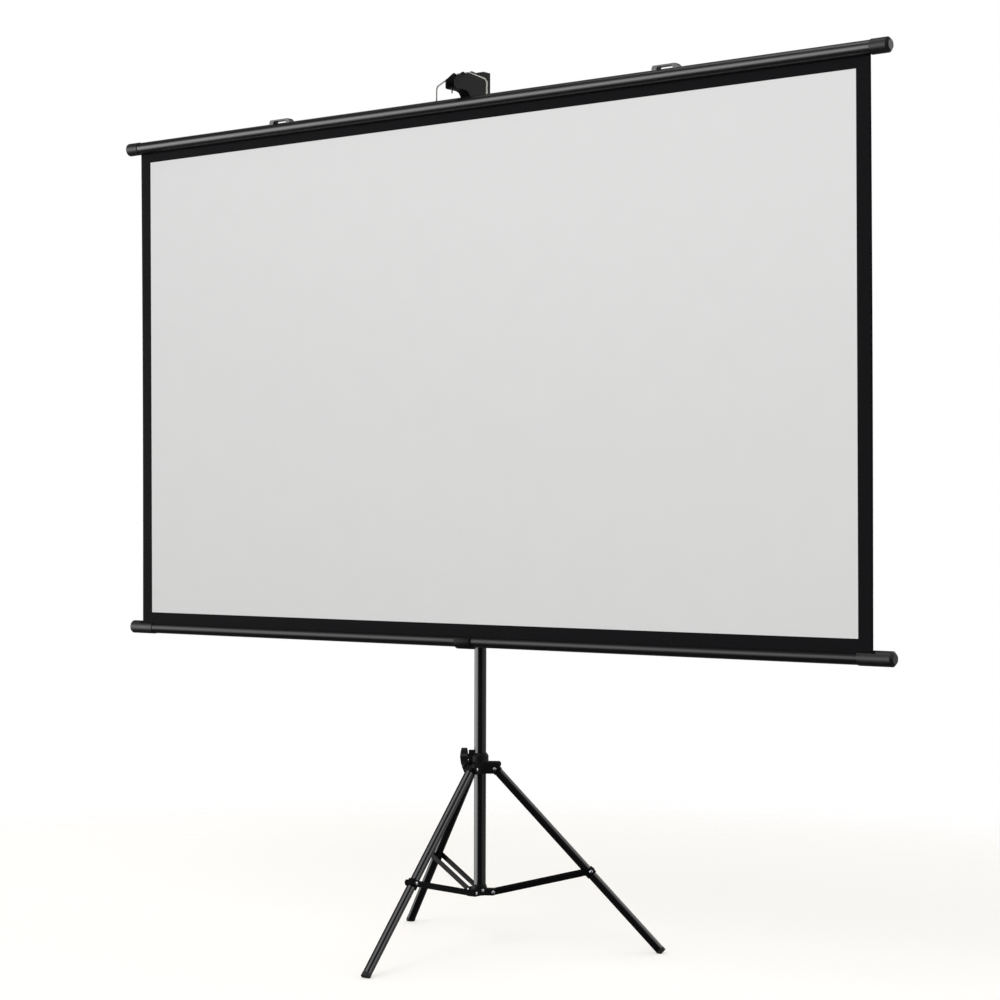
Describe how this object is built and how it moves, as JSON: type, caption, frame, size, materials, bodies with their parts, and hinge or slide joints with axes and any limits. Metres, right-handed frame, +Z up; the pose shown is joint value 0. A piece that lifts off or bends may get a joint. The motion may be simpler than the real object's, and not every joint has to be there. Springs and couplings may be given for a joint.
{
  "type": "tripod projection screen",
  "caption": "Portable projection screen: cloth pulled up from a roller case and hooked by a wire bail to the arm of an extending mast on a folding tripod.",
  "frame": {"origin": "point on the floor under the middle of the part's outline", "axes": "+X to the right seen from the audience, +Y away from the audience, +Z up"},
  "size_m": [2.386, 0.7175, 2.19],
  "materials": {
    "black_steel": "satin black powder coat",
    "bright_steel": "zinc plated",
    "spring_steel": "bright drawn wire",
    "black_plastic": "moulded black",
    "grey_plastic": "moulded natural grey",
    "black_rubber": "moulded rubber",
    "black_aluminium": "black anodised",
    "screen_cloth": "matt white coated cloth with a black printed border"
  },
  "bodies": {
    "mast": {"mast_lower_tube": "black_steel", "mast_foot_plug": "grey_plastic", "mast_guide_bush": "grey_plastic", "mast_lock_collar": "black_plastic", "lower_hub": "black_plastic", "lower_hub_rivet": "bright_steel", "brace_pins": "bright_steel"},
    "lock_knob": {"mast_lock_knob": "black_plastic"},
    "hub": {"upper_hub": "black_plastic", "leg_pins": "bright_steel"},
    "hub_knob": {"hub_knob": "black_plastic"},
    "carriage": {"case_tube": "black_aluminium", "case_cap_left": "black_plastic", "case_cap_right": "black_plastic", "case_saddle": "black_plastic", "clamp_liner": "grey_plastic", "mast_clamp": "black_plastic", "pivot_bolt": "bright_steel", "pivot_washer": "bright_steel", "pivot_nut": "bright_steel", "idle_pin": "bright_steel", "spring_rod": "bright_steel", "spring_anchor": "grey_plastic", "roller_spring": "spring_steel", "screen_fabric": "screen_cloth"},
    "clamp_knob": {"clamp_knob": "black_plastic"},
    "roller": {"roller_tube": "black_steel", "roller_bushes": "grey_plastic", "fabric_wraps": "screen_cloth"},
    "upper_mast": {"mast_upper_tube": "black_steel", "mast_upper_guide": "grey_plastic", "keystone_arm": "black_plastic", "arm_peg": "bright_steel", "arm_screw": "bright_steel", "top_bar": "black_aluminium", "top_cap_left": "black_plastic", "top_cap_right": "black_plastic", "spline_rod": "grey_plastic", "bail": "spring_steel", "hanger_left": "black_steel", "hanger_right": "black_steel"},
    "leg_1": {"leg_tube_1": "black_steel", "leg_head_1": "black_plastic", "leg_foot_1": "black_rubber", "leg_bracket_1": "black_steel"},
    "brace_1": {"brace_bars_1": "black_steel", "brace_rivets_1": "bright_steel"},
    "leg_2": {"leg_tube_2": "black_steel", "leg_head_2": "black_plastic", "leg_foot_2": "black_rubber", "leg_bracket_2": "black_steel"},
    "brace_2": {"brace_bars_2": "black_steel", "brace_rivets_2": "bright_steel"},
    "leg_3": {"leg_tube_3": "black_steel", "leg_head_3": "black_plastic", "leg_foot_3": "black_rubber", "leg_bracket_3": "black_steel"},
    "brace_3": {"brace_bars_3": "black_steel", "brace_rivets_3": "bright_steel"}
  },
  "joints": [
    {"name": "tripod_fold", "type": "slide", "parent": "mast", "child": "hub", "axis": [0, 0, 1], "range_m": [0, 0.284]},
    {"name": "leg_1_hinge", "type": "hinge", "parent": "hub", "child": "leg_1", "pos_m": [0.00166, 0.0657, 0.452], "axis": [0.999, 0.0436, 0], "range_deg": [0, 36.87]},
    {"name": "leg_2_hinge", "type": "hinge", "parent": "hub", "child": "leg_2", "pos_m": [0.03205, 0.12408, 0.452], "axis": [-0.5373, 0.8434, 0], "range_deg": [0, 36.87]},
    {"name": "leg_3_hinge", "type": "hinge", "parent": "hub", "child": "leg_3", "pos_m": [-0.03371, 0.12121, 0.452], "axis": [-0.4617, -0.887, 0], "range_deg": [0, 36.87]},
    {"name": "brace_1_hinge", "type": "hinge", "parent": "mast", "child": "brace_1", "pos_m": [0.00155, 0.0681, 0.145], "axis": [-0.999, -0.0436, 0], "range_deg": [0, 66.85]},
    {"name": "brace_2_hinge", "type": "hinge", "parent": "mast", "child": "brace_2", "pos_m": [0.03002, 0.12279, 0.145], "axis": [0.5373, -0.8434, 0], "range_deg": [0, 66.85]},
    {"name": "brace_3_hinge", "type": "hinge", "parent": "mast", "child": "brace_3", "pos_m": [-0.03158, 0.1201, 0.145], "axis": [0.4617, 0.887, 0], "range_deg": [0, 66.85]},
    {"name": "screen_height", "type": "slide", "parent": "mast", "child": "carriage", "axis": [0, 0, 1], "range_m": [0, 0.1]},
    {"name": "screen_extension", "type": "slide", "parent": "carriage", "child": "upper_mast", "axis": [0, 0, -1], "range_m": [0, 0.8], "deforming": ["screen_fabric"]},
    {"name": "roller_spin", "type": "hinge", "parent": "carriage", "child": "roller", "pos_m": [0, 0.04566, 0.772], "axis": [1, 0, 0], "range_deg": [0, 4168]},
    {"name": "hub_knob_turn", "type": "hinge", "parent": "hub", "child": "hub_knob", "pos_m": [-0.0253, 0.08754, 0.4805], "axis": [-0.8434, -0.5373, 0], "range_deg": [0, 360]},
    {"name": "mast_lock_knob_turn", "type": "hinge", "parent": "mast", "child": "lock_knob", "pos_m": [0, 0.13366, 1.214], "axis": [0, 1, 0], "range_deg": [0, 360]},
    {"name": "clamp_knob_turn", "type": "hinge", "parent": "carriage", "child": "clamp_knob", "pos_m": [0, 0.13366, 0.809], "axis": [0, 1, 0], "range_deg": [0, 360]}
  ],
  "couplings": [
    {"joint": "leg_1_hinge", "follows": "tripod_fold", "rad_per_m": 2.2628},
    {"joint": "leg_2_hinge", "follows": "tripod_fold", "rad_per_m": 2.2628},
    {"joint": "leg_3_hinge", "follows": "tripod_fold", "rad_per_m": 2.2628},
    {"joint": "brace_1_hinge", "follows": "tripod_fold", "rad_per_m": 4.1053},
    {"joint": "brace_2_hinge", "follows": "tripod_fold", "rad_per_m": 4.1053},
    {"joint": "brace_3_hinge", "follows": "tripod_fold", "rad_per_m": 4.1053},
    {"joint": "roller_spin", "follows": "screen_extension", "rad_per_m": 90.909}
  ]
}
